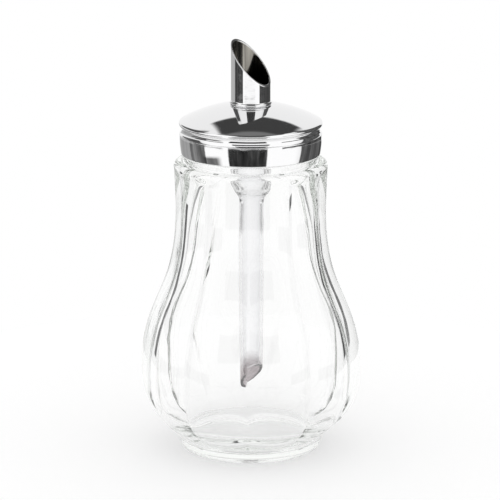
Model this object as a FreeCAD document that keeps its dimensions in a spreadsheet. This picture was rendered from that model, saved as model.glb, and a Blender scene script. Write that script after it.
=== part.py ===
import FreeCAD, Part
import math
import os
import re
import Sketcher

# Sugar dispenser: a fluted glass jar, a domed screw cap of chromed sheet, a slant-cut
# pouring spout and a clear dosing tube that hangs from the spout inside the jar.
# Frame: +Z up, origin at the centre of the foot, the front looks along -Y.

os.makedirs("parts", exist_ok=True)
doc = FreeCAD.newDocument("SugarDispenser")

# ---------------------------------------------------------------- driving dimensions (mm)
sizes = [
    # foot
    ("footRadius", 25.4, "radius of the ring the jar stands on"),
    ("footEdge", 1.1, "rounding of the foot's lower edge"),
    ("footTopRadius", 26.9, "radius at the top of the foot"),
    ("footHeight", 5.0, "height of the foot ring"),
    ("pushUpRadius", 19.0, "radius of the hollow under the foot"),
    ("pushUpRise", 1.4, "depth of the hollow under the foot"),
    # outline of the fluted wall, taken over the crests
    ("heelRadius", 34.9, "radius of the lower curve"),
    ("heelHeight", 12.5, "height of the lower curve"),
    ("bellyRadius", 40.0, "widest radius of the jar"),
    ("bellyHeight", 30.0, "height of the widest place"),
    ("flankRadius", 36.5, "radius on the flank"),
    ("flankHeight", 50.0, "height of the flank"),
    ("throatRadius", 30.8, "radius where the flank turns into the neck"),
    ("throatHeight", 64.0, "height of that turn"),
    ("neckRadius", 27.2, "narrowest radius of the neck"),
    ("neckHeight", 86.0, "height of the narrowest place"),
    ("shoulderStand", 2.7, "how far the shoulder stands out beyond the cap's lower edge"),
    ("shoulderHeight", 106.4, "top of the shoulder"),
    ("shoulderEdge", 2.0, "rounding of the shoulder's top edge"),
    ("fluteDepth", 1.8, "depth of a valley at the belly"),
    ("fluteCount", 10, "flutes round the jar"),
    ("fluteTurn", 2.3, "turn of the front valley, degrees"),
    # inside of the jar
    ("wallThickness", 3.4, "wall from crest to inside"),
    ("floorHeight", 8.0, "height of the inner floor"),
    ("floorRadius", 17.0, "flat part of the inner floor"),
    ("mouthRadius", 20.8, "inner radius of the mouth"),
    ("mouthEdge", 0.8, "rounding of the mouth's rim"),
    ("finishWall", 2.6, "wall of the glass inside the cap"),
    ("ringStand", 0.9, "how far the ring below the cap stands out beyond that wall"),
    ("ringEdge", 0.7, "rounding at the ring's foot and top"),
    # screw cap
    ("ringShow", 2.9, "height of the glass ring that shows below the cap"),
    ("skirtStand", 0.8, "how far the skirt's lower edge stands out beyond the glass ring"),
    ("skirtFlare", 0.5, "how much wider the skirt is at its top"),
    ("skirtBulge", 40.0, "radius of the skirt's slight bulge"),
    ("skirtHeight", 7.1, "height of the skirt"),
    ("grooveHeight", 3.0, "height of the groove over the skirt"),
    ("grooveCurve", 2.6, "radius of the groove's hollow"),
    ("rimStep", 0.25, "how much smaller the rim's edges are than the top of the skirt"),
    ("rimHeight", 1.5, "height of the rim over the groove"),
    ("rimCurve", 0.95, "rounding of the rim"),
    ("domeRise", 6.5, "height of the dome over the rim"),
    ("sheetThickness", 0.5, "thickness of the cap's sheet"),
    # pouring spout
    ("spoutRadius", 7.1, "outer radius of the spout"),
    ("spoutWall", 0.55, "wall of the spout"),
    ("spoutDrop", 15.9, "how far the spout reaches down below the rim"),
    ("spoutRise", 22.6, "height of the cut's highest point over the dome"),
    ("spoutCutAngle", 48.0, "slope of the cut, degrees"),
    ("spoutLowSide", 58.0, "bearing of the cut's low side from the front, degrees"),
    ("collarStand", 0.45, "how far the collar stands out"),
    ("collarHeight", 1.2, "height of the collar"),
    # dosing tube
    ("headStand", 0.2, "how far the tube's head stands out beyond the spout"),
    ("headLength", 7.5, "length of the head below the spout"),
    ("taperLength", 4.5, "length of the taper below the head"),
    ("plugLength", 4.0, "length of the plug in the spout"),
    ("tubeRadius", 5.2, "outer radius of the tube"),
    ("tubeWall", 1.0, "wall of the tube"),
    ("tubeStand", 12.2, "lowest point of the tube over the jar's floor"),
    ("tubeCutAngle", 46.0, "slope of that cut, degrees"),
    ("tubeHighSide", 35.0, "bearing of that cut's high side from the front, degrees"),
    ("cutPast", 0.9, "how far the slant cuts reach past the pipe and the tube"),
    # fits
    ("slideGap", 0.15, "clearance of the spout in the cap's hole"),
    ("plugGap", 0.2, "clearance of the plug in the spout"),
    ("seatGap", 0.2, "clearance between the mouth's rim and the cap"),
    ("collarGap", 0.05, "clearance at the spout's collar and at its lower end"),
]

sheet = doc.addObject("Spreadsheet::Sheet", "Dims")
for row, (alias, number, note) in enumerate(sizes, start=1):
    sheet.set(f"A{row}", note)
    sheet.set(f"B{row}", str(number))
    sheet.setAlias(f"B{row}", alias)
doc.recompute()


def size(alias):
    return float(sheet.get(alias))


def value(owner, expression):
    return float(owner.evalExpression(expression))


# ---------------------------------------------------------------- radii and heights that build on others
finishRadius = "(mouthRadius + finishWall)"
ringRadius = f"({finishRadius} + ringStand)"
skirtFootRadius = f"({ringRadius} + skirtStand)"
skirtRadius = f"({skirtFootRadius} + skirtFlare)"
rimRadius = f"({skirtRadius} - rimStep)"
shoulderRadius = f"({skirtFootRadius} + shoulderStand)"
headRadius = "(spoutRadius + headStand)"

capFoot = "(shoulderHeight + ringShow)"
grooveFoot = f"({capFoot} + skirtHeight)"
grooveTop = f"({grooveFoot} + grooveHeight)"
rimTop = f"({grooveTop} + rimHeight)"
spoutFoot = f"({rimTop} - spoutDrop)"
spoutTip = f"({rimTop} + domeRise + spoutRise)"
headFoot = f"({spoutFoot} - headLength)"
taperFoot = f"({headFoot} - taperLength)"
tubeFoot = "(floorHeight + tubeStand)"
tubeCutTop = f"({tubeFoot} + 2 * tubeRadius * tan(tubeCutAngle))"

# Heights on the dome, whose section is one arc from rim to rim.
domeRadius = f"({rimRadius}^2 + domeRise^2) / (2 * domeRise)"


def domeHeight(radius, inset="0"):
    return f"{rimTop} + domeRise - {domeRadius} + sqrt(({domeRadius} - {inset})^2 - ({radius})^2)"


mouthTop = f"{domeHeight(finishRadius, 'sheetThickness')} - seatGap"


# ---------------------------------------------------------------- helpers
def originPlane(body, role):
    return next(part for part in body.Origin.OriginFeatures if part.Role == role)


def arcMiddle(start, end, radius, side):
    # Middle of the arc from start to end; side is +1 when it bulges to the left of that way.
    chord = end - start
    half = chord.Length / 2
    rise = radius - math.sqrt(radius * radius - half * half)
    normal = FreeCAD.Vector(-chord.y, chord.x, 0).normalize()
    return (start + end) * 0.5 + normal * (rise * side)


def addProfile(body, name, corners):
    # Closed outline on the XZ plane. A corner is (x, z) or (x, z, arc radius, side), each size an
    # expression over the sheet; radius and side shape the way from this corner to the next.
    sketch = body.newObject("Sketcher::SketchObject", name)
    sketch.AttachmentSupport = [(originPlane(body, "XZ_Plane"), "")]
    sketch.MapMode = "FlatFace"
    points = [FreeCAD.Vector(value(sheet, c[0]), value(sheet, c[1]), 0) for c in corners]
    count = len(corners)
    ends = []
    for index, corner in enumerate(corners):
        start = points[index]
        end = points[(index + 1) % count]
        # A sketch's arcs run counter-clockwise, so one that bulges left is put in backwards.
        backwards = len(corner) == 4 and corner[3] > 0
        if len(corner) == 4:
            middle = arcMiddle(start, end, value(sheet, corner[2]), corner[3])
            curve = Part.Arc(end, middle, start) if backwards else Part.Arc(start, middle, end)
        else:
            curve = Part.LineSegment(start, end)
        sketch.addGeometry(curve, False)
        ends.append((2, 1) if backwards else (1, 2))
    for index in range(count):
        after = (index + 1) % count
        sketch.addConstraint(Sketcher.Constraint("Coincident", index, ends[index][1], after, ends[after][0]))
    for index, corner in enumerate(corners):
        place = points[index]
        first = ends[index][0]
        if abs(place.x) < 1e-9:
            sketch.addConstraint(Sketcher.Constraint("PointOnObject", index, first, -2))
        else:
            fixed = sketch.addConstraint(Sketcher.Constraint("DistanceX", -1, 1, index, first, place.x))
            sketch.setExpression(f"Constraints[{fixed}]", bound(corner[0]))
        if abs(place.y) < 1e-9:
            sketch.addConstraint(Sketcher.Constraint("PointOnObject", index, first, -1))
        else:
            fixed = sketch.addConstraint(Sketcher.Constraint("DistanceY", -1, 1, index, first, place.y))
            sketch.setExpression(f"Constraints[{fixed}]", bound(corner[1]))
        if len(corner) == 4:
            fixed = sketch.addConstraint(Sketcher.Constraint("Radius", index, value(sheet, corner[2])))
            sketch.setExpression(f"Constraints[{fixed}]", bound(corner[2]))
    return sketch


def bound(expression):
    # The same expression as seen from outside the sheet: every alias gets the sheet's name.
    aliases = {alias for alias, number, note in sizes}
    return re.sub(r"[A-Za-z]+", lambda word: ("Dims." if word[0] in aliases else "") + word[0], expression)


def revolve(body, name, corners):
    feature = body.newObject("PartDesign::Revolution", name)
    feature.Profile = addProfile(body, name + "Outline", corners)
    feature.ReferenceAxis = (feature.Profile[0], ["V_Axis"])
    feature.Angle = 360
    return feature


def cutThrough(body, name, corners):
    # Pocket both ways through the body, checked by its volume.
    doc.recompute()
    before = body.Shape.Volume
    feature = body.newObject("PartDesign::Pocket", name)
    feature.Profile = addProfile(body, name + "Outline", corners)
    feature.Type = "ThroughAll"
    feature.SideType = "Symmetric"
    doc.recompute()
    if not body.Shape.Volume < before - 1.0:
        raise RuntimeError(name + " cuts nothing")
    return feature


def newBody(name):
    body = doc.addObject("PartDesign::Body", name)
    body.Label = name
    return body


# ---------------------------------------------------------------- glass jar
def crestCurve(inset, lowEnd, highEnd, levelStart=False):
    # Smooth outline over the crests, moved in by inset, between end points (radius, height).
    # With levelStart it leaves the low end level, as a floor does.
    stations = [("heelRadius", "heelHeight"), ("bellyRadius", "bellyHeight"), ("flankRadius", "flankHeight"),
                ("throatRadius", "throatHeight"), ("neckRadius", "neckHeight")]
    corners = [lowEnd] + [(size(radius) - inset, size(height)) for radius, height in stations] + [highEnd]
    points = [FreeCAD.Vector(radius, 0, height) for radius, height in corners]
    curve = Part.BSplineCurve()
    if levelStart:
        flags = [True] + [False] * (len(points) - 1)
        curve.interpolate(Points=points, Tangents=[FreeCAD.Vector(1, 0, 0)] * len(points), TangentFlags=flags)
    else:
        curve.interpolate(Points=points)
    return curve


def fluteRing(crestRadius, height):
    # One section of the fluted wall: a ring of equal arcs that meet in sharp valleys.
    count = int(size("fluteCount"))
    step = 2 * math.pi / count
    valleyRadius = crestRadius * (1 - size("fluteDepth") / size("bellyRadius"))
    firstValley = -math.pi / 2 - math.radians(size("fluteTurn"))

    def at(radius, angle):
        return FreeCAD.Vector(radius * math.cos(angle), radius * math.sin(angle), height)

    arcs = []
    for index in range(count):
        angle = firstValley + index * step
        arcs.append(Part.Arc(at(valleyRadius, angle), at(crestRadius, angle + step / 2),
                             at(valleyRadius, angle + step)).toShape())
    return Part.Wire(arcs)


def revolved(edges):
    face = Part.Face(Part.Wire(edges))
    return face.revolve(FreeCAD.Vector(0, 0, 0), FreeCAD.Vector(0, 0, 1), 360)


def computedPart(name, shape):
    feature = doc.addObject("Part::Feature", name)
    feature.Shape = shape
    feature.Placement = FreeCAD.Placement()
    return feature


# The wall runs from inside the foot up through the shoulder, whose edge then trims it.
wallFoot = (size("footTopRadius") - 2 * size("footEdge"), size("footHeight") - size("footEdge"))
wallHead = (value(sheet, shoulderRadius), size("shoulderHeight"))
sectionCount = 11
crest = crestCurve(0, wallFoot, wallHead)
wallRings = [fluteRing(point.x, point.z) for point in crest.discretize(Number=sectionCount)]
flutedWall = computedPart("FlutedWall", Part.makeLoft(wallRings, True, False))

# The inside follows the crests at the wall's thickness, from a flat floor up into the mouth.
wall = size("wallThickness")
floorEnd = (size("floorRadius"), size("floorHeight"))
throatEnd = (size("mouthRadius"), size("shoulderHeight"))
inside = crestCurve(wall, floorEnd, throatEnd, levelStart=True)
mouthHeight = value(sheet, mouthTop)
flare = size("mouthEdge")
axisFoot = FreeCAD.Vector(0, 0, size("floorHeight"))
floorRim = FreeCAD.Vector(floorEnd[0], 0, floorEnd[1])
throat = FreeCAD.Vector(throatEnd[0], 0, throatEnd[1])
mouthLow = FreeCAD.Vector(throatEnd[0], 0, mouthHeight - flare)
mouthMid = mouthLow + FreeCAD.Vector(flare * (1 - math.sqrt(0.5)), 0, flare * math.sqrt(0.5))
mouthRim = mouthLow + FreeCAD.Vector(flare, 0, flare)
clearTop = mouthRim + FreeCAD.Vector(0, 0, 1)
axisHead = FreeCAD.Vector(0, 0, clearTop.z)
cavity = computedPart("Cavity", revolved([
    Part.makeLine(axisFoot, floorRim),
    inside.toShape(),
    Part.makeLine(throat, mouthLow),
    Part.Arc(mouthLow, mouthMid, mouthRim).toShape(),
    Part.makeLine(mouthRim, clearTop),
    Part.makeLine(clearTop, axisHead),
    Part.makeLine(axisHead, axisFoot),
]))

trim = newBody("ShoulderTrim")
revolve(trim, "TrimTurn", [
    ("0", "footHeight - 2 * footEdge"),
    ("bellyRadius + wallThickness", "footHeight - 2 * footEdge"),
    ("bellyRadius + wallThickness", "shoulderHeight - shoulderEdge - wallThickness"),
    (f"{shoulderRadius} + footEdge", "shoulderHeight - shoulderEdge - wallThickness"),
    (shoulderRadius, "shoulderHeight - shoulderEdge", "shoulderEdge", -1),
    (f"{shoulderRadius} - shoulderEdge", "shoulderHeight"),
    ("0", "shoulderHeight"),
])

foot = newBody("FootRing")
revolve(foot, "FootTurn", [
    ("0", "pushUpRise"),
    ("pushUpRadius - 2 * pushUpRise", "pushUpRise"),
    ("pushUpRadius", "0"),
    ("footRadius - footEdge", "0", "footEdge", -1),
    ("footRadius", "footEdge"),
    ("footTopRadius", "footHeight - footEdge", "footEdge", -1),
    ("footTopRadius - footEdge", "footHeight"),
    ("0", "footHeight"),
])

neck = newBody("NeckRing")
revolve(neck, "NeckTurn", [
    ("0", "shoulderHeight - shoulderEdge"),
    (f"{ringRadius} + ringEdge", "shoulderHeight - shoulderEdge"),
    (f"{ringRadius} + ringEdge", "shoulderHeight", "ringEdge", 1),
    (ringRadius, "shoulderHeight + ringEdge"),
    (ringRadius, f"{capFoot} - seatGap - ringEdge", "ringEdge", -1),
    (f"{ringRadius} - ringEdge", f"{capFoot} - seatGap"),
    (finishRadius, f"{capFoot} - seatGap"),
    (finishRadius, f"{mouthTop} - mouthEdge", "mouthEdge", -1),
    (f"{finishRadius} - mouthEdge", mouthTop),
    ("0", mouthTop),
])

trimmedWall = doc.addObject("Part::MultiCommon", "TrimmedWall")
trimmedWall.Shapes = [flutedWall, trim]
solidJar = doc.addObject("Part::MultiFuse", "SolidJar")
solidJar.Shapes = [trimmedWall, foot, neck]
jar = doc.addObject("Part::Cut", "Jar")
jar.Label = "glass_jar"
jar.Base = solidJar
jar.Tool = cavity
doc.recompute()

# ---------------------------------------------------------------- screw cap
capInside = f"{rimRadius} - sheetThickness"
cap = newBody("cap")
revolve(cap, "CapTurn", [
    (f"{skirtFootRadius} - sheetThickness", capFoot, "0.6 * sheetThickness", -1),
    (skirtFootRadius, capFoot, "skirtBulge", -1),
    (skirtRadius, grooveFoot, "grooveCurve", 1),
    (rimRadius, grooveTop, "rimCurve", -1),
    (rimRadius, rimTop, domeRadius, -1),
    ("spoutRadius + slideGap", domeHeight("spoutRadius + slideGap")),
    ("spoutRadius + slideGap", domeHeight("spoutRadius + slideGap", "sheetThickness"),
     f"{domeRadius} - sheetThickness", 1),
    (capInside, domeHeight(capInside, "sheetThickness")),
    (capInside, grooveTop, "grooveCurve", -1),
    (f"{skirtRadius} - sheetThickness", grooveFoot, "skirtBulge", 1),
])

# ---------------------------------------------------------------- pouring spout
# Turned about Z in its own frame with the cut's high side on +X, then set to its bearing.
collarFoot = f"{domeHeight('spoutRadius')} + collarGap"
collarCurve = "(collarHeight^2 / 4 + collarStand^2) / (2 * collarStand)"
spout = newBody("spout")
revolve(spout, "SpoutTurn", [
    ("spoutRadius - spoutWall", spoutFoot),
    ("spoutRadius", spoutFoot),
    ("spoutRadius", collarFoot, collarCurve, -1),
    ("spoutRadius", f"{collarFoot} + collarHeight"),
    ("spoutRadius", spoutTip),
    ("spoutRadius - spoutWall", spoutTip),
])
cutThrough(spout, "SpoutCut", [
    ("spoutRadius + cutPast", f"{spoutTip} + cutPast * tan(spoutCutAngle)"),
    ("spoutRadius + cutPast", f"{spoutTip} + cutPast * (tan(spoutCutAngle) + 1)"),
    ("-spoutRadius - cutPast", f"{spoutTip} + cutPast * (tan(spoutCutAngle) + 1)"),
    ("-spoutRadius - cutPast", f"{spoutTip} - (2 * spoutRadius + cutPast) * tan(spoutCutAngle)"),
])
spout.setExpression("Placement.Rotation.Angle", bound("spoutLowSide + 90"))

# ---------------------------------------------------------------- dosing tube
plugRadius = "spoutRadius - spoutWall - plugGap"
tube = newBody("dosing_tube")
revolve(tube, "TubeTurn", [
    ("tubeRadius - tubeWall", tubeFoot),
    ("tubeRadius", tubeFoot),
    ("tubeRadius", taperFoot),
    (headRadius, headFoot),
    (headRadius, f"{spoutFoot} - collarGap"),
    (plugRadius, f"{spoutFoot} - collarGap"),
    (plugRadius, f"{spoutFoot} + plugLength"),
    (f"{plugRadius} - tubeWall", f"{spoutFoot} + plugLength"),
    (f"{plugRadius} - tubeWall", headFoot),
    ("tubeRadius - tubeWall", taperFoot),
])
cutThrough(tube, "TubeCut", [
    ("tubeRadius + cutPast", f"{tubeCutTop} + cutPast * tan(tubeCutAngle)"),
    ("-tubeRadius - cutPast", f"{tubeFoot} - cutPast * tan(tubeCutAngle)"),
    ("-tubeRadius - cutPast", f"{tubeFoot} - cutPast * (tan(tubeCutAngle) + 1)"),
    ("tubeRadius + cutPast", f"{tubeFoot} - cutPast * (tan(tubeCutAngle) + 1)"),
])
tube.setExpression("Placement.Rotation.Angle", bound("tubeHighSide - 90"))
doc.recompute()

# ---------------------------------------------------------------- checks and export
for item in doc.Objects:
    if "Invalid" in item.State or "Error" in item.State:
        raise RuntimeError(item.Name + " did not recompute")

for part in [jar, cap, spout, tube]:
    shape = part.Shape
    if shape.isNull() or not shape.isValid() or len(shape.Solids) != 1:
        raise RuntimeError(part.Label + " is not one valid solid")
    shape.exportStep(f"parts/{part.Label}.step")
    print(f"{part.Label}: {shape.Volume / 1000:.2f} cm3")
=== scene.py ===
import math
import bpy
import numpy as np
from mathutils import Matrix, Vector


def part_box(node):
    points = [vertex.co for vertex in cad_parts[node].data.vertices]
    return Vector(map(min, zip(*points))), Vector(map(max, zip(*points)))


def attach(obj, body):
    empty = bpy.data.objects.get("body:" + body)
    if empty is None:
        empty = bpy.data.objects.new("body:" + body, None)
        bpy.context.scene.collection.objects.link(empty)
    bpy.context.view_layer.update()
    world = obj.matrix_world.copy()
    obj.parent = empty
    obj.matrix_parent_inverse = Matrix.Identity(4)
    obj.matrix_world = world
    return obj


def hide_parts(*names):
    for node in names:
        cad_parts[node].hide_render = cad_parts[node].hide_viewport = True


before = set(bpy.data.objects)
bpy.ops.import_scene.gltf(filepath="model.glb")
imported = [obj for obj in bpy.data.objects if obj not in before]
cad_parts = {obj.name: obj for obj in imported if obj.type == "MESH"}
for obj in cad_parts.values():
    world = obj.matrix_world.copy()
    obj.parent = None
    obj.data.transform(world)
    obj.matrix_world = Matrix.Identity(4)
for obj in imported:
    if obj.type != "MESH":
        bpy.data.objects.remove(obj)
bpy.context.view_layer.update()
mm = 0.001                      # shapes are worked out in millimetres, with heights over the foot's underside
print("frame loaded")


# The paths below are rows of radius and height, and count is how many points lie along each.

left, right = 1, -1             # the side of its way that an arc bulges to


def linePath(start, end, count):
    # Start plus an even share of the way to the end.
    return np.linspace(start, end, count)


def arcPath(start, end, radius, side, count):
    # Middle of the circle plus radius times (sine along the chord + cosine across it, to the side).
    start, end = np.array(start, float), np.array(end, float)
    chord = np.hypot(*(end - start))
    along = (end - start) / chord
    across = np.array([-along[1], along[0]]) * side
    reach = math.asin(min(1.0, chord / (2 * radius)))
    middle = (start + end) / 2 - across * radius * math.cos(reach)
    turn = np.linspace(-reach, reach, count)[:, None]
    return middle + radius * (np.sin(turn) * along + np.cos(turn) * across)


def splinePath(points, count, startWay=None, endWay=None):
    # Cubic through the points over their summed chords; the slopes solve for equal bend at every point,
    # and a given way at either end takes the place of that end's row.
    points = np.array(points, float)
    chords = np.hypot(*np.diff(points, axis=0).T)
    place = np.concatenate([[0.0], np.cumsum(chords)])
    near = 1 / chords
    steps = np.diff(points, axis=0) / chords[:, None]
    pull = np.diag(2 * (np.append(near, 0) + np.append(0, near))) + np.diag(near, 1) + np.diag(near, -1)
    push = 3 * (np.vstack([steps * near[:, None], [[0, 0]]]) + np.vstack([[[0, 0]], steps * near[:, None]]))
    for row, way in ((0, startWay), (-1, endWay)):
        if way is not None:
            pull[row] = 0
            pull[row, row] = 1
            push[row] = way
    slopes = np.linalg.solve(pull, push)
    at = np.linspace(0, place[-1], count)
    cell = np.clip(np.searchsorted(place, at, side="right") - 1, 0, len(chords) - 1)
    length = chords[cell][:, None]
    t = ((at - place[cell])[:, None]) / length
    return ((2 * t**3 - 3 * t**2 + 1) * points[cell] + (t**3 - 2 * t**2 + t) * length * slopes[cell]
            + (3 * t**2 - 2 * t**3) * points[cell + 1] + (t**3 - t**2) * length * slopes[cell + 1])


def joinPaths(*paths):
    # One path after another, each without the point it shares with the one before.
    return np.vstack([paths[0]] + [path[1:] for path in paths[1:]])


def sunkInside(path, depth):
    # Each point moved to the right of the path by the depth, square to its neighbours' chord.
    way = np.gradient(path, axis=0)
    normal = np.stack([way[:, 1], -way[:, 0]], axis=-1)
    return path - depth * normal / np.linalg.norm(normal, axis=1, keepdims=True)


def smoothRamp(x, low, high):
    # 0 below low, 1 above high, and 3t^2 - 2t^3 between them.
    t = np.clip((x - low) / (high - low), 0.0, 1.0)
    return t * t * (3 - 2 * t)


def evenAngles(count):
    # The number of each column times the full turn over their count.
    return np.arange(count) * 2 * np.pi / count


def turnedRing(radius, height, angle):
    # Radius times cosine and sine of the angle, at a height; the rows are rings and the columns angles.
    radius = radius + 0 * angle
    return np.stack([radius * np.cos(angle), radius * np.sin(angle), height + 0 * angle], axis=-1)


def cutHeight(radius, angle, tip, outer, highSide, slope):
    # A sloping plane: the tip's height less the way across from the tip times the slope.
    return tip - (outer - radius * np.cos(angle - highSide)) * slope


def gridPiece(name, points, loop=False, poles=False, innerRows=(0, 0)):
    # Quads between neighbours of a rows x columns grid that closes round the axis; loop joins the
    # last row to the first, and poles puts a point on the axis at either end with a fan round it.
    # Faces between the innerRows take the second material.
    rows, columns = points.shape[:2]
    number = np.arange(rows * columns).reshape(rows, columns)
    vertices = points.reshape(-1, 3)
    if loop:
        number = np.vstack([number, number[:1]])
    low, high = number[:-1], number[1:]
    quads = np.stack([low, np.roll(low, -1, 1), np.roll(high, -1, 1), high], axis=-1).reshape(-1, 4)
    corners = quads.ravel()
    starts = np.arange(len(quads)) * 4
    if poles:
        first, last = number[0], number[-1]
        firstPole = rows * columns
        lastPole = firstPole + 1
        vertices = np.vstack([vertices, [[0, 0, points[0, 0, 2]], [0, 0, points[-1, 0, 2]]]])
        fans = np.vstack([np.stack([0 * first + firstPole, np.roll(first, -1), first], axis=-1),
                          np.stack([0 * last + lastPole, last, np.roll(last, -1)], axis=-1)])
        starts = np.append(starts, len(corners) + np.arange(len(fans)) * 3)
        corners = np.append(corners, fans.ravel())
    mesh = bpy.data.meshes.new(name)
    mesh.vertices.add(len(vertices))
    mesh.vertices.foreach_set("co", (vertices * mm).ravel())
    mesh.loops.add(len(corners))
    mesh.loops.foreach_set("vertex_index", corners)
    mesh.polygons.add(len(starts))
    mesh.polygons.foreach_set("loop_start", starts)
    mesh.polygons.foreach_set("use_smooth", np.ones(len(starts), bool))
    row = np.arange(len(starts)) // columns
    isInner = (row >= innerRows[0]) & (row < innerRows[1])
    mesh.polygons.foreach_set("material_index", isInner.astype(np.int32))
    mesh.update(calc_edges=True)
    piece = bpy.data.objects.new(name, mesh)
    bpy.context.scene.collection.objects.link(piece)
    return piece


# Glass jar: the outline runs from under the foot, up the outside, over the mouth and down to the floor.

jarLook = {
    "poleRing": 1.0,            # radius of the first and the last ring, next to the axis
    "foot": (25.4, 26.9, 5.0, 1.1),         # radius below and above, top, and the lower edge's curve
    "footTurn": (0.35, 0.45),   # how far in the foot's side stops, and the middle of its turn into the wall
    "pushUp": (16.2, 19.0, 1.4),            # radius of its flat part and of its rim, and rise
    "outline": [(25.9, 5.2), (34.9, 12.5), (40.0, 30.0), (36.5, 50.0), (30.8, 64.0), (27.2, 86.0)],
    "shoulder": (27.75, 106.4, 2.0),        # radius, top, edge's curve
    "ring": (24.3, 0.7, 109.1),             # radius, edges' curve, top
    "finish": (23.4, 20.8, 0.8),            # radius outside and at the mouth, rim's curve
    "wall": 3.4,
    "floor": (17.0, 8.0),       # radius of the flat part, height
    "flutes": 10,
    "frontValley": -92.3,       # degrees from +X
    "fluteDepth": 0.045,        # share of the radius
    "fluteStart": (5.2, 9.0),   # the flutes grow out of the foot over these heights
    "fluteEnd": (101.5, 105.2), # and end in arches below the shoulder's edge
    "innerShare": 0.8,          # how much of each flute the inner wall follows
    "innerStart": (10.0, 24.0),
    "innerEnd": (98.0, 105.5),
    "columnsPerFlute": 22,
    "valleySqueeze": 0.8,       # crowds the columns towards the valleys
}


def fluteShare(angle):
    # Equal arcs with their crests on the outline. An arc's radius is its middle's distance times the cosine
    # of the angle off the crest, plus the root of its own radius squared less the sine's part squared.
    # The share is 0 on a crest and 1 in a valley.
    step = 2 * math.pi / jarLook["flutes"]
    off = np.mod(angle - math.radians(jarLook["frontValley"]), step) - step / 2
    valley = 1 - jarLook["fluteDepth"]
    middle = (1 - valley**2) / (2 * (1 - valley * math.cos(step / 2)))
    ring = middle * np.cos(off) + np.sqrt((1 - middle)**2 - (middle * np.sin(off))**2)
    return (1 - ring) / jarLook["fluteDepth"]


def jarPaths():
    # Lines, arcs and splines from under the foot to the axis inside: below, outside, mouth, inside, floor.
    footLow, footHigh, footTop, footEdge = jarLook["foot"]
    sideStop, turnMiddle = jarLook["footTurn"]
    pushFlat, pushRim, pushRise = jarLook["pushUp"]
    shoulder, shoulderTop, shoulderEdge = jarLook["shoulder"]
    ring, ringEdge, ringTop = jarLook["ring"]
    finish, mouth, mouthEdge = jarLook["finish"]
    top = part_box("glass_jar")[1].z / mm
    footSide = (footHigh - sideStop, footTop - footEdge)
    footNeck = (footHigh - turnMiddle, footTop - turnMiddle)
    pushMiddle = ((pushFlat + pushRim) / 2, pushRise / 2)
    under = joinPaths(
        linePath((jarLook["poleRing"], pushRise), (pushFlat, pushRise), 6),
        splinePath([(pushFlat, pushRise), pushMiddle, (pushRim, 0.0)], 8, startWay=(1, 0), endWay=(1, 0)),
        linePath((pushRim, 0.0), (footLow - footEdge, 0.0), 4),
        arcPath((footLow - footEdge, 0.0), (footLow, footEdge), footEdge, right, 7),
        linePath((footLow, footEdge), footSide, 5),
        splinePath([footSide, footNeck, jarLook["outline"][0]], 8, startWay=(0.4, 1), endWay=(0.4, 0.6)))
    shoulderSide = (shoulder, shoulderTop - shoulderEdge)
    outside = splinePath(jarLook["outline"] + [shoulderSide], 150, startWay=(0.9, 0.55))
    above = joinPaths(
        arcPath(shoulderSide, (shoulder - shoulderEdge, shoulderTop), shoulderEdge, right, 9),
        linePath((shoulder - shoulderEdge, shoulderTop), (ring + ringEdge, shoulderTop), 2),
        arcPath((ring + ringEdge, shoulderTop), (ring, shoulderTop + ringEdge), ringEdge, left, 6),
        linePath((ring, shoulderTop + ringEdge), (ring, ringTop - ringEdge), 3),
        arcPath((ring, ringTop - ringEdge), (ring - ringEdge, ringTop), ringEdge, right, 6),
        linePath((ring - ringEdge, ringTop), (finish, ringTop), 2),
        linePath((finish, ringTop), (finish, top - mouthEdge), 5),
        arcPath((finish, top - mouthEdge), (finish - mouthEdge, top), mouthEdge, right, 6),
        linePath((finish - mouthEdge, top), (mouth + mouthEdge, top), 3),
        arcPath((mouth + mouthEdge, top), (mouth, top - mouthEdge), mouthEdge, right, 6),
        linePath((mouth, top - mouthEdge), (mouth, shoulderTop), 4))
    sunk = [(radius - jarLook["wall"], height) for radius, height in jarLook["outline"][1:]]
    inside = splinePath([jarLook["floor"]] + sunk + [(mouth, shoulderTop)], 96, startWay=(1, 0))[::-1]
    floor = linePath(jarLook["floor"], (jarLook["poleRing"], jarLook["floor"][1]), 8)
    return under, outside, above, inside, floor


def jarPoints():
    # The outline turned round the axis, its radius less the flutes' depth times their share at the angle.
    # The depth is the flutes' own, times a smooth rise and a smooth fall over the height; less of it inside.
    under, outside, above, inside, floor = jarPaths()
    profile = joinPaths(under, outside, above, inside, floor)
    radius, height = profile[:, :1], profile[:, 1:]
    row = np.arange(len(profile))[:, None]
    isOuter = row < len(under) + len(outside) - 1
    isInner = row > len(under) + len(outside) + len(above) - 3
    outerPart = smoothRamp(height, *jarLook["fluteStart"]) * (1 - smoothRamp(height, *jarLook["fluteEnd"]))
    innerPart = smoothRamp(height, *jarLook["innerStart"]) * (1 - smoothRamp(height, *jarLook["innerEnd"]))
    depth = (isOuter * outerPart + isInner * innerPart * jarLook["innerShare"]) * jarLook["fluteDepth"]
    share = np.arange(jarLook["columnsPerFlute"]) / jarLook["columnsPerFlute"]
    share = share - jarLook["valleySqueeze"] * np.sin(2 * np.pi * share) / (2 * np.pi)
    angle = (np.arange(jarLook["flutes"])[:, None] + share).ravel() * 2 * np.pi / jarLook["flutes"]
    angle = angle + math.radians(jarLook["frontValley"])
    return turnedRing(radius * (1 - depth * fluteShare(angle)), height, angle)


jar = gridPiece("jarGlass", jarPoints(), poles=True)
print("jar made")


# Screw cap: one thin sheet, from the skirt's lower edge over the dome to its hole and back inside.

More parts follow.
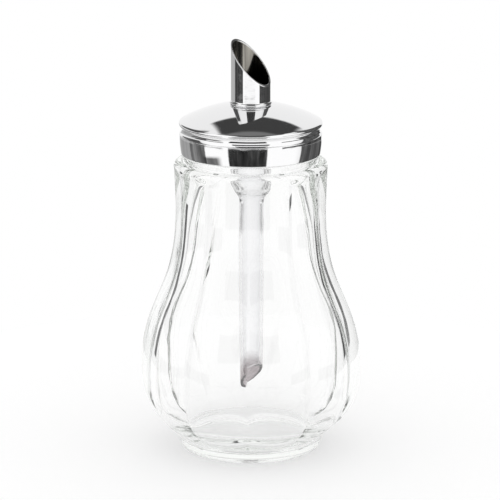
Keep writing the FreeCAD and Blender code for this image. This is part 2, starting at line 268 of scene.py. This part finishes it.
capLook = {
    "skirt": (25.1, 25.6, 40.0),            # radius below and above, bulge's curve
    "groove": (116.4, 119.4, 2.6),          # foot, top, hollow's curve
    "grooveLip": (0.2, 0.25, 0.15, 0.3),    # the skirt's top edge: below the groove, in, above, curve
    "rim": (25.35, 120.9, 0.95),            # radius, top, curve
    "rimFoot": (0.05, 0.1),     # how far in and below the groove's top the rim starts
    "rimHead": (0.12, 0.06),    # how far in and above the rim's top the dome starts
    "dome": 6.5,                # rise over the rim
    "hole": 7.25,               # radius
    "sheet": 0.5,
    "edgeSlack": 0.001,         # keeps the edge's curve wider than the sheet
    "columns": 256,
}


def capPoints():
    # The outer outline, the same path sunk by the sheet's thickness, and half a circle that joins their
    # lower ends, turned round the axis; their upper ends join straight, at the hole.
    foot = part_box("cap")[0].z / mm
    skirtFoot, skirtTop, skirtBulge = capLook["skirt"]
    grooveFoot, grooveTop, grooveCurve = capLook["groove"]
    lipBelow, lipIn, lipAbove, lipCurve = capLook["grooveLip"]
    rim, rimTop, rimCurve = capLook["rim"]
    dome = (rim**2 + capLook["dome"]**2) / (2 * capLook["dome"])
    skirtStart = (skirtFoot, foot + capLook["sheet"] / 2)
    skirtEnd = (skirtTop, grooveFoot - lipBelow)
    grooveStart = (skirtTop - lipIn, grooveFoot + lipAbove)
    grooveEnd = (rim - capLook["rimFoot"][0], grooveTop - capLook["rimFoot"][1])
    domeStart = (rim - capLook["rimHead"][0], rimTop + capLook["rimHead"][1])
    hole = (capLook["hole"], rimTop + capLook["dome"] - dome + math.sqrt(dome**2 - capLook["hole"]**2))
    outside = joinPaths(
        arcPath(skirtStart, skirtEnd, skirtBulge, right, 26),
        arcPath(skirtEnd, grooveStart, lipCurve, right, 6),
        arcPath(grooveStart, grooveEnd, grooveCurve, left, 18),
        arcPath(grooveEnd, domeStart, rimCurve, right, 14),
        arcPath(domeStart, hole, dome, right, 64))
    inside = sunkInside(outside, capLook["sheet"])[::-1]
    edge = arcPath(inside[-1], outside[0], capLook["sheet"] / 2 + capLook["edgeSlack"], right, 9)
    profile = np.vstack([outside, inside, edge[1:-1]])
    return turnedRing(profile[:, :1], profile[:, 1:], evenAngles(capLook["columns"]))


cap = gridPiece("capShell", capPoints(), loop=True)
print("cap made")


# Pouring spout: a straight pipe with a small collar and a slanting cut.

spoutLook = {
    "radius": 7.1,
    "wall": 0.55,
    "cut": 48.0,                # slope, degrees
    "lowSide": 58.0,            # degrees from the front
    "collar": (127.0, 1.2, 0.45),           # foot, height, stand
    "columns": 160,
    "rows": (40, 9, 48),        # outside, over the lip, inside
}


def spoutPoints():
    # Rings up to the collar, then straight up to half a wall under the sloping plane of the cut, half a
    # circle across the wall, and straight down inside to the foot. Also says which rows are inside.
    low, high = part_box("spout")
    foot, tip = low.z / mm, high.z / mm
    radius, wall = spoutLook["radius"], spoutLook["wall"]
    collarFoot, collarHeight, collarStand = spoutLook["collar"]
    outerRows, lipRows, innerRows = spoutLook["rows"]
    slope = math.tan(math.radians(spoutLook["cut"]))
    highSide = math.radians(spoutLook["lowSide"] + 90)
    angle = evenAngles(spoutLook["columns"])
    collarCurve = (collarHeight**2 / 4 + collarStand**2) / (2 * collarStand)
    collarTop = collarFoot + collarHeight
    lower = joinPaths(
        linePath((radius, foot), (radius, collarFoot), 12),
        arcPath((radius, collarFoot), (radius, collarTop), collarCurve, right, 14))
    lowerRing = turnedRing(lower[:, :1], lower[:, 1:], angle)
    rise = np.linspace(0, 1, outerRows)[1:, None]
    outerTop = cutHeight(radius, angle, tip, radius, highSide, slope) - wall / 2
    outerRing = turnedRing(radius + 0 * rise, collarTop + (outerTop - collarTop) * rise, angle)
    turn = np.linspace(0, np.pi, lipRows)[1:-1, None]
    lipRadius = radius - wall / 2 + wall / 2 * np.cos(turn)
    lipHeight = cutHeight(lipRadius, angle, tip, radius, highSide, slope) - wall / 2 * (1 - np.sin(turn))
    lipRing = turnedRing(lipRadius, lipHeight, angle)
    inner = radius - wall
    innerTop = cutHeight(inner, angle, tip, radius, highSide, slope) - wall / 2
    fall = np.linspace(1, 0, innerRows)[:, None]
    innerRing = turnedRing(inner + 0 * fall, foot + (innerTop - foot) * fall, angle)
    rows = np.concatenate([lowerRing, outerRing, lipRing, innerRing])
    return rows, (len(rows) - innerRows, len(rows))


spoutRows, spoutInside = spoutPoints()
spout = gridPiece("spoutPipe", spoutRows, loop=True, innerRows=spoutInside)
print("spout made")


# Dosing tube: a plug in the spout, a rounded head, a taper and a straight tube with a slanting cut.

tubeLook = {
    "radius": 5.2,
    "wall": 1.0,
    "head": (7.3, 97.5, 104.95),            # radius, foot, top
    "headRound": (1.6, 0.3),    # how far over its foot the head is full, and its upper edge's curve
    "taperFoot": 93.0,
    "taper": (0.5, 95.6),       # how far out the taper's middle is, and at what height
    "bore": (4.75, 95.3),       # radius and height of the bore's middle in the taper
    "plug": (6.35, 0.25),       # radius, upper edge's curve
    "cut": 46.0,                # slope, degrees
    "highSide": 35.0,           # degrees from the front
    "cutTop": 31.0,
    "cutRound": 0.15,           # the walls end this far over the cut's plane, and the lip's curve fills it
    "columns": 128,
    "rows": (48, 9, 48),        # outside, over the lip, inside
}


def tubePoints():
    # Rings from the sloping plane of the cut straight up to the taper, over the head and the plug, down
    # the bore, straight down to the plane again, and half an oval across the wall.
    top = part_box("dosing_tube")[1].z / mm
    radius, wall = tubeLook["radius"], tubeLook["wall"]
    head, headFoot, headTop = tubeLook["head"]
    headRise, headEdge = tubeLook["headRound"]
    plug, plugEdge = tubeLook["plug"]
    taperFoot, cutTop, cutRound = tubeLook["taperFoot"], tubeLook["cutTop"], tubeLook["cutRound"]
    outerRows, lipRows, innerRows = tubeLook["rows"]
    slope = math.tan(math.radians(tubeLook["cut"]))
    highSide = math.radians(tubeLook["highSide"] - 90)
    angle = evenAngles(tubeLook["columns"])
    inner, plugBore = radius - wall, plug - wall
    headFull = (head, headFoot + headRise)
    taperMiddle = (radius + tubeLook["taper"][0], tubeLook["taper"][1])
    rise = np.linspace(0, 1, outerRows)[:-1, None]
    outerFoot = cutHeight(radius, angle, cutTop, radius, highSide, slope) + cutRound
    outerRing = turnedRing(radius + 0 * rise, outerFoot + (taperFoot - outerFoot) * rise, angle)
    middle = joinPaths(
        splinePath([(radius, taperFoot), taperMiddle, headFull], 20, startWay=(0, 1), endWay=(0, 1)),
        linePath(headFull, (head, headTop - headEdge), 6),
        arcPath((head, headTop - headEdge), (head - headEdge, headTop), headEdge, right, 5),
        linePath((head - headEdge, headTop), (plug, headTop), 2),
        linePath((plug, headTop), (plug, top - plugEdge), 4),
        arcPath((plug, top - plugEdge), (plug - plugEdge, top), plugEdge, right, 4),
        linePath((plug - plugEdge, top), (plugBore, top), 2),
        linePath((plugBore, top), (plugBore, headFoot), 6),
        splinePath([(plugBore, headFoot), tubeLook["bore"], (inner, taperFoot)], 12,
                   startWay=(0, -1), endWay=(0, -1)))
    middleRing = turnedRing(middle[:, :1], middle[:, 1:], angle)
    fall = np.linspace(1, 0, innerRows)[1:, None]
    innerFoot = cutHeight(inner, angle, cutTop, radius, highSide, slope) + cutRound
    innerRing = turnedRing(inner + 0 * fall, innerFoot + (taperFoot - innerFoot) * fall, angle)
    turn = np.linspace(np.pi, 2 * np.pi, lipRows)[1:-1, None]
    lipRadius = radius - wall / 2 + wall / 2 * np.cos(turn)
    lipHeight = cutHeight(lipRadius, angle, cutTop, radius, highSide, slope) + cutRound * (1 + np.sin(turn))
    lipRing = turnedRing(lipRadius, lipHeight, angle)
    return np.concatenate([outerRing, middleRing, innerRing, lipRing])


tube = gridPiece("tubeClear", tubePoints(), loop=True)
print("tube made")


# Node helpers. A source is another node's socket or a plain value.

def setSockets(node, values):
    # A plain value for each named socket.
    for socket, value in values.items():
        node.inputs[socket].default_value = value


def feed(tree, socket, source):
    # A link from another socket, or the plain value.
    if isinstance(source, bpy.types.NodeSocket):
        tree.links.new(source, socket)
    else:
        socket.default_value = source


def addMath(tree, operation, *sources):
    node = tree.nodes.new("ShaderNodeMath")
    node.operation = operation
    for socket, source in zip(node.inputs, sources):
        feed(tree, socket, source)
    return node.outputs["Value"]


def addMix(tree, factor, first, second, kind="FLOAT"):
    mix = tree.nodes.new("ShaderNodeMix")
    mix.data_type = kind
    for socket, source in (("Factor", factor), ("A", first), ("B", second)):
        feed(tree, mix.inputs[socket], source)
    return mix.outputs["Result"]


def addRamp(tree, source, start, end, low=0.0, high=1.0, shape="LINEAR"):
    # Low up to the start and high past the end.
    ramp = tree.nodes.new("ShaderNodeMapRange")
    ramp.interpolation_type = shape
    setSockets(ramp, {"From Min": start, "From Max": end, "To Min": low, "To Max": high})
    tree.links.new(source, ramp.inputs["Value"])
    return ramp.outputs["Result"]


def addNoise(tree, scale, detail, stretch=(1, 1, 1)):
    place = tree.nodes.new("ShaderNodeTexCoord")
    mapping = tree.nodes.new("ShaderNodeMapping")
    noise = tree.nodes.new("ShaderNodeTexNoise")
    setSockets(mapping, {"Scale": stretch})
    setSockets(noise, {"Scale": scale, "Detail": detail})
    tree.links.new(place.outputs["Object"], mapping.inputs["Vector"])
    tree.links.new(mapping.outputs["Vector"], noise.inputs["Vector"])
    return noise.outputs["Fac"]


def addGrain(tree, grain, low, high):
    # Noise keeps mostly between 0.3 and 0.7, which become low and high.
    return addRamp(tree, addNoise(tree, *grain), 0.3, 0.7, low, high)


def addBump(tree, shader, grain, height):
    bump = tree.nodes.new("ShaderNodeBump")
    setSockets(bump, {"Strength": 1.0, "Distance": height})
    tree.links.new(addNoise(tree, *grain), bump.inputs["Height"])
    tree.links.new(bump.outputs["Normal"], shader.inputs["Normal"])


def newMaterial(name, values):
    material = bpy.data.materials.new(name)
    material.use_nodes = True
    tree = material.node_tree
    shader = tree.nodes["Principled BSDF"]
    setSockets(shader, values)
    return material, tree, shader


# Finishes. A grain is the noise's scale, its detail and how it is stretched; a ripple's height is in metres.

glassLook = {
    "ior": 1.5,
    "tint": (0.955, 0.968, 0.952, 1),
    "density": 22.0,
    "rippleGrain": (90, 2, (1, 1, 0.5)),
    "ripple": 0.00009,
}


def pressedGlass():
    # clear, with a green tint where it is thick and slow ripples from the mould
    glass, tree, shader = newMaterial("pressedGlass", {
        "Base Color": (1, 1, 1, 1), "Transmission Weight": 1.0, "IOR": glassLook["ior"], "Roughness": 0.0})
    addBump(tree, shader, glassLook["rippleGrain"], glassLook["ripple"])
    soak = tree.nodes.new("ShaderNodeVolumeAbsorption")
    setSockets(soak, {"Color": glassLook["tint"], "Density": glassLook["density"]})
    tree.links.new(soak.outputs["Volume"], tree.nodes["Material Output"].inputs["Volume"])
    return glass


chromeLook = {
    "colour": (0.82, 0.82, 0.825, 1),
    "roughGrain": (400, 3),
    "rough": (0.03, 0.07),
    "rippleGrain": (120, 2, (1, 1, 3)),
    "ripple": 0.000012,
}


def chromedSheet():
    # mirror bright, with a roughness that differs a little from place to place
    chrome, tree, shader = newMaterial("chromedSheet", {"Base Color": chromeLook["colour"], "Metallic": 1.0})
    tree.links.new(addGrain(tree, chromeLook["roughGrain"], *chromeLook["rough"]), shader.inputs["Roughness"])
    addBump(tree, shader, chromeLook["rippleGrain"], chromeLook["ripple"])
    return chrome


boreLook = {
    # dark is painted shade and pale is painted reflection, in the colour of the metal inside the spout
    "dark": (0.03, 0.028, 0.025, 1),
    "pale": (0.4, 0.38, 0.34, 1),
    "paintedStreakGrain": (640, 3, (1, 1, 0.03)),
    "roughGrain": (700, 3, (1, 1, 0.15)),
    "rough": (0.08, 0.16),
    "rippleGrain": (500, 2, (1, 1, 0.1)),
    "ripple": 0.000012,
}


def boreWithPaintedShadeAndReflection():
    # metal inside the spout, its colour painted with dark shade and with pale streaks of painted reflection
    # that run up the bore
    paintedBore, tree, shader = newMaterial("boreWithPaintedShadeAndReflection", {"Metallic": 1.0})
    paintedStreaks = addGrain(tree, boreLook["paintedStreakGrain"], 0.0, 1.0)
    colour = addMix(tree, paintedStreaks, boreLook["dark"], boreLook["pale"], "RGBA")
    tree.links.new(colour, shader.inputs["Base Color"])
    tree.links.new(addGrain(tree, boreLook["roughGrain"], *boreLook["rough"]), shader.inputs["Roughness"])
    addBump(tree, shader, boreLook["rippleGrain"], boreLook["ripple"])
    return paintedBore


plasticLook = {
    "ior": 1.5,
    "roughGrain": (300, 2),
    "rough": (0.04, 0.1),
    "edgeBlend": 0.15,          # how narrow the grey edges are
    "face": (0.99, 0.99, 0.995, 1),
    # edge is painted grey shade where the wall is seen edge on
    "edge": (0.4, 0.4, 0.43, 1),
    # headEdge is a painted dark refraction of the cap and spout, in the head's edges
    "headEdge": (0.06, 0.06, 0.05, 1),
    "headPaintedDarkFade": (0.0965, 0.0985),           # heights in metres
    # cut is painted shade at the cut end, where the inside of the tube shows
    "cut": (0.42, 0.38, 0.39, 1),
    "cutPaintedShadeFade": (0.034, 0.028),
}


def clearPlastic():
    # painted grey shade where the wall is seen edge on, near black in the thick head, where it is a painted
    # dark refraction of the cap and spout, and painted shade at the cut end
    plastic, tree, shader = newMaterial("clearPlastic", {
        "Transmission Weight": 1.0, "IOR": plasticLook["ior"]})
    rough = addGrain(tree, plasticLook["roughGrain"], *plasticLook["rough"])
    tree.links.new(rough, shader.inputs["Roughness"])
    parts = tree.nodes.new("ShaderNodeSeparateXYZ")
    tree.links.new(tree.nodes.new("ShaderNodeTexCoord").outputs["Object"], parts.inputs["Vector"])
    height = parts.outputs["Z"]
    edgeOn = tree.nodes.new("ShaderNodeLayerWeight")
    setSockets(edgeOn, {"Blend": plasticLook["edgeBlend"]})
    # over the head the painted grey edges turn to a painted dark refraction of the cap and spout
    edge = addMix(tree, addRamp(tree, height, *plasticLook["headPaintedDarkFade"]), plasticLook["edge"],
                  plasticLook["headEdge"], "RGBA")
    # painted grey shade mixed in where the wall is seen edge on
    wall = addMix(tree, edgeOn.outputs["Facing"], plasticLook["face"], edge, "RGBA")
    # painted shade at the cut end
    colour = addMix(tree, addRamp(tree, height, *plasticLook["cutPaintedShadeFade"]), wall, plasticLook["cut"], "RGBA")
    tree.links.new(colour, shader.inputs["Base Color"])
    return plastic


glass, chrome, paintedBore, plastic = pressedGlass(), chromedSheet(), boreWithPaintedShadeAndReflection(), clearPlastic()
for piece, node, slot, material in ((jar, "glass_jar", "jar_glass", glass),
                                    (cap, "cap", "cap_chrome", chrome),
                                    (spout, "spout", "spout_chrome", chrome),
                                    (tube, "dosing_tube", "tube_plastic", plastic)):
    piece.data.materials.append(material)
    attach(piece, "root")
    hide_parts(node)
spout.data.materials.append(paintedBore)
print("materials made")


# Studio: a white surround with dark gaps that only metal and glass show.

studioLook = {
    "level": 1.03,              # for the floor and other dull things; the camera sees 1
    # bearing from the camera's side, to the right; tilt above the horizon; each low and high in degrees;
    # gaps just under the horizon show in the spout, lower ones in the skirt, higher ones in rim and groove
    "metalGaps": [
        {"bearing": (-37, 27), "tilt": (-60, -12.5), "soft": 2, "dark": 0.99, "mottle": 0.3},
        {"bearing": (-105, -46), "tilt": (-12.6, -5), "soft": 2, "dark": 0.97, "mottle": 0.4},
        {"bearing": (-165, -105), "tilt": (-12.6, -5), "soft": 2, "dark": 0.5, "mottle": 0.4},
        {"bearing": (52, 160), "tilt": (-13.2, -5), "soft": 2, "dark": 0.98, "mottle": 0.6},
        {"bearing": (90, 165), "tilt": (-60, -13.2), "soft": 2, "dark": 0.95, "mottle": 0.7},
        {"bearing": (-118, -80), "tilt": (-60, -12.6), "soft": 2, "dark": 0.92, "mottle": 1.0},
        {"bearing": (-165, -118), "tilt": (-60, -12.6), "soft": 2, "dark": 0.65, "mottle": 1.0},
        {"bearing": (-84, -54), "tilt": (-60, -21), "soft": 14, "dark": 0.88, "mottle": 0.5},
        {"bearing": (95, 150), "tilt": (-5, 50), "soft": 4, "dark": 0.93, "mottle": 0.5},
        {"bearing": (-150, -92), "tilt": (5, 50), "soft": 4, "dark": 0.93, "mottle": 0.5},
        {"bearing": (-31, 31), "tilt": (6, 25), "soft": 3, "dark": 0.96, "mottle": 0.3},
        {"bearing": (-29, 31), "tilt": (35, 62), "soft": 2, "dark": 0.97, "mottle": 0.3},
        {"bearing": (-138, 138), "tilt": (62, 100), "soft": 3, "dark": 0.95, "mottle": 0.3},
    ],
    # two narrow pairs far to either side, and a faint wide one in front
    "glassGaps": [{"bearing": bearing, "tilt": (-12, 5), "soft": 2, "dark": 0.97, "mottle": 0.3}
                  for bearing in ((129, 136), (141.5, 149), (-136, -129), (-149, -141.5))] + [
        {"bearing": (-62, 62), "tilt": (-60, 60), "soft": 30, "dark": 0.15, "mottle": 0.0}],
    # lift over the far horizon, seen from the side, and the share of the way that goes to the right;
    # these show in the dome
    "metalCeilings": [
        {"lift": (43.5, 98), "across": (-0.26, 0.34), "soft": 3, "dark": 0.8},
        {"lift": (43.5, 65), "across": (-0.26, 0.34), "soft": 3, "dark": 0.72},
    ],
    "glassCeilings": [{"lift": (70, 110), "across": (-2, 2), "soft": 30, "dark": 0.15}],
    "tiltSharper": 4,           # how much sharper tilt edges are than bearing edges
    "acrossSharper": 60,        # the same for edges across, which are shares and not degrees
    "frontGlow": 0.2,           # how much lighter metal finds the camera's side
    "frontReach": {"bearing": (-85, 85), "tilt": (-70, 60), "soft": 20},
    "mottleDetail": 3,
    "mottleScale": (0.11, 0.03),            # for each degree of bearing and of tilt, so it runs upright
    "mottlePower": 4.0,
    "bounces": (32, 20, 28),    # of light in all, off metal and through glass
}


def addBand(tree, source, low, high, soft):
    # 1 between low and high with soft edges, 0 outside.
    rise = addRamp(tree, source, low - soft / 2, low + soft / 2, 0.0, 1.0, "SMOOTHSTEP")
    fall = addRamp(tree, source, high - soft / 2, high + soft / 2, 1.0, 0.0, "SMOOTHSTEP")
    return addMath(tree, "MULTIPLY", rise, fall)


def addDirections(tree):
    # Bearing is the arc tangent of x over -y, tilt the arc sine of z, lift the arc tangent of z over y.
    way = tree.nodes.new("ShaderNodeTexCoord")
    parts = tree.nodes.new("ShaderNodeSeparateXYZ")
    tree.links.new(way.outputs["Generated"], parts.inputs["Vector"])
    x, y, z = parts.outputs["X"], parts.outputs["Y"], parts.outputs["Z"]
    degrees = 180 / math.pi
    nearer = addMath(tree, "MULTIPLY", y, -1)
    return {"bearing": addMath(tree, "MULTIPLY", addMath(tree, "ARCTAN2", x, nearer), degrees),
            "tilt": addMath(tree, "MULTIPLY", addMath(tree, "ARCSINE", z), degrees),
            "lift": addMath(tree, "MULTIPLY", addMath(tree, "ARCTAN2", z, y), degrees),
            "across": x}


def addMottle(tree, way):
    # Noise over bearing and tilt to a power, so that most of it is small.
    noise = tree.nodes.new("ShaderNodeTexNoise")
    setSockets(noise, {"Scale": 1.0, "Detail": studioLook["mottleDetail"]})
    spread = tree.nodes.new("ShaderNodeCombineXYZ")
    for socket, source, scale in zip(("X", "Y"), ("bearing", "tilt"), studioLook["mottleScale"]):
        tree.links.new(addMath(tree, "MULTIPLY", way[source], scale), spread.inputs[socket])
    tree.links.new(spread.outputs["Vector"], noise.inputs["Vector"])
    return addMath(tree, "POWER", noise.outputs["Fac"], studioLook["mottlePower"])


def addRoom(tree, way, mottle, level, gaps, ceilings):
    # The level, times one less the darkness of each gap that the way falls in.
    places = []
    for ceiling in ceilings:
        places.append((ceiling["dark"], addMath(
            tree, "MULTIPLY", addBand(tree, way["lift"], *ceiling["lift"], ceiling["soft"]),
            addBand(tree, way["across"], *ceiling["across"], ceiling["soft"] / studioLook["acrossSharper"]))))
    for gap in gaps:
        inside = addMath(
            tree, "MULTIPLY", addBand(tree, way["bearing"], *gap["bearing"], gap["soft"]),
            addBand(tree, way["tilt"], *gap["tilt"], gap["soft"] / studioLook["tiltSharper"]))
        even = addMath(tree, "SUBTRACT", 1.0, addMath(tree, "MULTIPLY", mottle, gap["mottle"]))
        places.append((gap["dark"], addMath(tree, "MULTIPLY", inside, even)))
    for dark, inside in places:
        passed = addMath(tree, "SUBTRACT", 1.0, addMath(tree, "MULTIPLY", inside, dark))
        level = addMath(tree, "MULTIPLY", level, passed)
    return level


def makeSurround():
    # one room for the camera and dull things, one for what metal shows and one for what glass shows
    world = bpy.data.worlds.new("studio")
    bpy.context.scene.world = world
    world.use_nodes = True
    tree = world.node_tree
    way = addDirections(tree)
    mottle = addMottle(tree, way)
    reach = studioLook["frontReach"]
    front = addMath(tree, "MULTIPLY", addBand(tree, way["bearing"], *reach["bearing"], reach["soft"]),
                    addBand(tree, way["tilt"], *reach["tilt"], reach["soft"]))
    glow = addMath(tree, "ADD", 1.0, addMath(tree, "MULTIPLY", front, studioLook["frontGlow"]))
    metalRoom = addRoom(tree, way, mottle, glow, studioLook["metalGaps"], studioLook["metalCeilings"])
    glassRoom = addRoom(tree, way, mottle, 1.0, studioLook["glassGaps"], studioLook["glassCeilings"])
    rays = tree.nodes.new("ShaderNodeLightPath")
    plainRoom = addMath(tree, "ADD", studioLook["level"],
                        addMath(tree, "MULTIPLY", rays.outputs["Is Camera Ray"], 1.0 - studioLook["level"]))
    seen = addMix(tree, rays.outputs["Is Glossy Ray"], plainRoom, metalRoom)
    seen = addMix(tree, rays.outputs["Is Transmission Ray"], seen, glassRoom)
    background = tree.nodes["Background"]
    setSockets(background, {"Color": (1, 1, 1, 1)})
    tree.links.new(seen, background.inputs["Strength"])


floorLook = {
    "radius": 180.0,
    "hole": 0.1,                # a needle's width, on the axis under the foot
    "rings": 12,
    "columns": 128,
    "paint": {"Base Color": (0.47, 0.47, 0.47, 1), "Emission Color": (1, 1, 1, 1), "Emission Strength": 0.53,
              "Roughness": 0.9, "Specular IOR Level": 0.1},
}


def makeFloor():
    # A flat disc: even radii at height 0, turned round the axis.
    radius = np.linspace(floorLook["hole"], floorLook["radius"], floorLook["rings"])[:, None]
    floor = gridPiece("floor", turnedRing(radius, 0 * radius, evenAngles(floorLook["columns"])))
    floor.data.materials.append(newMaterial("paleFloor", floorLook["paint"])[0])


cameraLook = {
    "place": (-0.00027, -1.176, 0.3784),    # metres
    "down": 14.558,             # degrees
    "lens": 242.06,
    "sensor": 36,
    "clipStart": 0.05,
}


def makeCamera():
    camera = bpy.data.objects.new("camera", bpy.data.cameras.new("camera"))
    camera.location = cameraLook["place"]
    camera.rotation_euler = (math.radians(90 - cameraLook["down"]), 0, 0)
    camera.data.lens = cameraLook["lens"]
    camera.data.sensor_width = cameraLook["sensor"]
    camera.data.clip_start = cameraLook["clipStart"]
    bpy.context.scene.collection.objects.link(camera)
    bpy.context.scene.camera = camera
    bpy.context.scene.view_settings.view_transform = "Standard"


def setLightPaths():
    # light needs many turns to get out of thick glass
    paths = bpy.context.scene.cycles
    paths.max_bounces, paths.glossy_bounces, paths.transmission_bounces = studioLook["bounces"]


makeSurround()
makeFloor()
makeCamera()
setLightPaths()
print("studio made")
